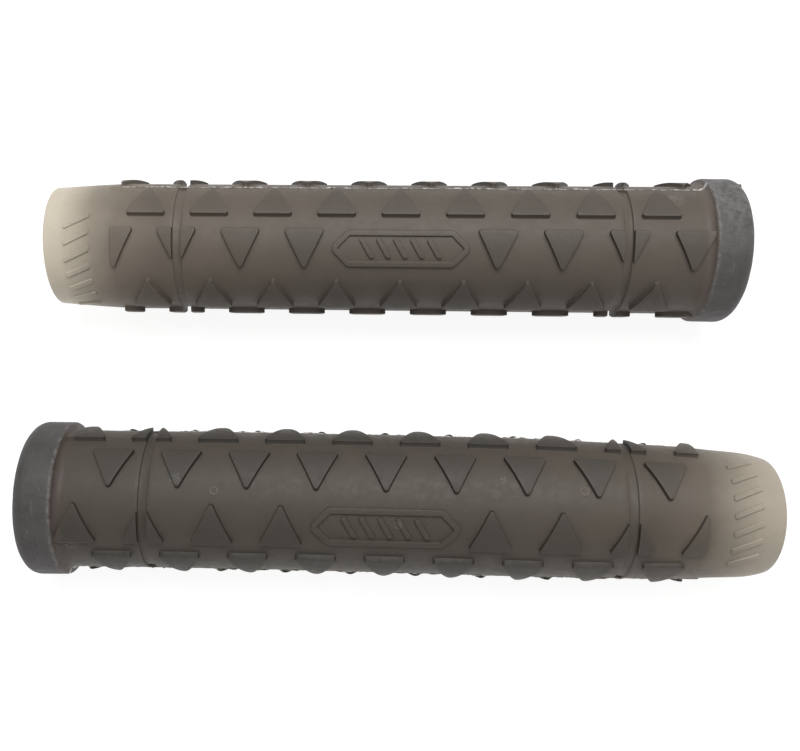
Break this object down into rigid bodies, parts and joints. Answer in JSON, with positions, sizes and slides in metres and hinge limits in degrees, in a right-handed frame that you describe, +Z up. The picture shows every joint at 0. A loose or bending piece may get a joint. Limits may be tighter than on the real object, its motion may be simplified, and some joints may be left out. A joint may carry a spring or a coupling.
{
  "type": "handlebar grip pair",
  "caption": "Pair of slip-on bicycle handlebar grips with raised triangular knobs, safety-wire grooves and a bumper cap on the closed end.",
  "frame": {"origin": "on the floor under the middle of the pair's box", "axes": "+X along grip 1 from its open lip to its bumper cap, +Y from grip 2 to grip 1, +Z up"},
  "size_m": [0.1443, 0.0851, 0.03],
  "materials": {
    "smoke_rubber": "satin translucent",
    "dark_rubber": "scuffed matte"
  },
  "bodies": {
    "grip_1": {"grip_1_sleeve": "smoke_rubber"},
    "grip_1_cap": {"grip_1_end_cap": "dark_rubber"},
    "grip_2": {"grip_2_sleeve": "smoke_rubber"},
    "grip_2_cap": {"grip_2_end_cap": "dark_rubber"}
  },
  "joints": [
    {"name": "grip_1_cap_pull", "type": "slide", "parent": "grip_1", "child": "grip_1_cap", "axis": [1, 0, 0], "range_m": [0, 0.01]},
    {"name": "grip_2_aside", "type": "slide", "parent": "grip_1", "child": "grip_2", "axis": [0, -1, 0], "range_m": [0, 0.06]},
    {"name": "grip_2_cap_pull", "type": "slide", "parent": "grip_2", "child": "grip_2_cap", "axis": [-1, 0.007, 0], "range_m": [0, 0.01]}
  ]
}
